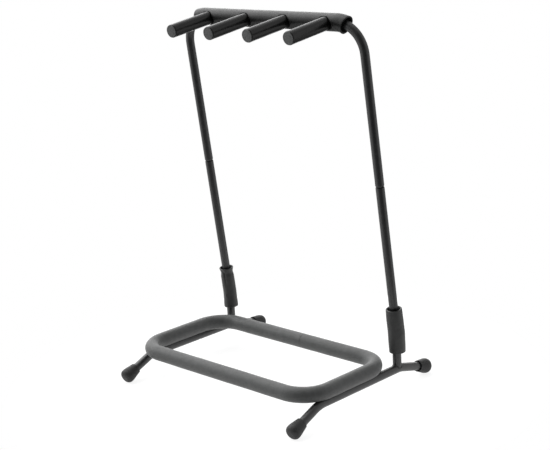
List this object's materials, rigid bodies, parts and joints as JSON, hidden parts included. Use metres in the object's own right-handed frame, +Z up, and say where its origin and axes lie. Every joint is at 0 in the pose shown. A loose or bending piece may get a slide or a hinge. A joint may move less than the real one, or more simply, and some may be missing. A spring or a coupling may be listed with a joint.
{
  "type": "guitar rack",
  "caption": "Free-standing folding rack: a foam-covered floor loop on rubber-footed rails, hinged leaning uprights, and a foam crossbar with padded pegs that guitar necks lean between.",
  "frame": {"origin": "on the floor, in the middle of the rack's footprint", "axes": "+X to the guitarist's right as they face the rack, +Y to the rear, away from the pegs, +Z up"},
  "size_m": [0.456, 0.3786, 0.6789],
  "materials": {
    "black_tube": "satin",
    "loop_foam": "matte",
    "bar_foam": "matte",
    "peg_foam": "matte",
    "sleeve_foam": "matte",
    "peg_cap": "matte",
    "foot_rubber": "matte",
    "zinc_steel": "satin"
  },
  "bodies": {
    "base": {"loop_frame": "black_tube", "loop_foam": "loop_foam", "loop_screw_left_front": "zinc_steel", "loop_screw_left_rear": "zinc_steel", "loop_screw_right_front": "zinc_steel", "loop_screw_right_rear": "zinc_steel", "side_rail_left": "black_tube", "side_rail_right": "black_tube", "foot_left_front": "foot_rubber", "foot_left_rear": "foot_rubber", "foot_right_front": "foot_rubber", "foot_right_rear": "foot_rubber", "hinge_post_left": "black_tube", "hinge_post_right": "black_tube", "hinge_fork_left": "zinc_steel", "hinge_fork_right": "zinc_steel", "hinge_bolt_left": "zinc_steel", "hinge_bolt_right": "zinc_steel", "hinge_nut_left": "zinc_steel", "hinge_nut_right": "zinc_steel", "hinge_sleeve_left": "sleeve_foam", "hinge_sleeve_right": "sleeve_foam"},
    "uprights": {"hinge_tongue_left": "zinc_steel", "hinge_tongue_right": "zinc_steel", "lower_upright_left": "black_tube", "lower_upright_right": "black_tube"},
    "upper": {"upper_frame": "black_tube", "bar_foam": "bar_foam", "peg_rod_1": "black_tube", "peg_foam_1": "peg_foam", "peg_cap_1": "peg_cap", "peg_rod_2": "black_tube", "peg_foam_2": "peg_foam", "peg_cap_2": "peg_cap", "peg_rod_3": "black_tube", "peg_foam_3": "peg_foam", "peg_cap_3": "peg_cap", "peg_rod_4": "black_tube", "peg_foam_4": "peg_foam", "peg_cap_4": "peg_cap"}
  },
  "joints": [
    {"name": "frame_fold", "type": "hinge", "parent": "base", "child": "uprights", "pos_m": [0, 0.10056, 0.10281], "axis": [1, 0, 0], "range_deg": [0, 82], "deforming": ["hinge_sleeve_left", "hinge_sleeve_right"]},
    {"name": "upper_frame_lift", "type": "slide", "parent": "uprights", "child": "upper", "axis": [0, -0.1071, 0.9942], "range_m": [0, 0.06]}
  ]
}
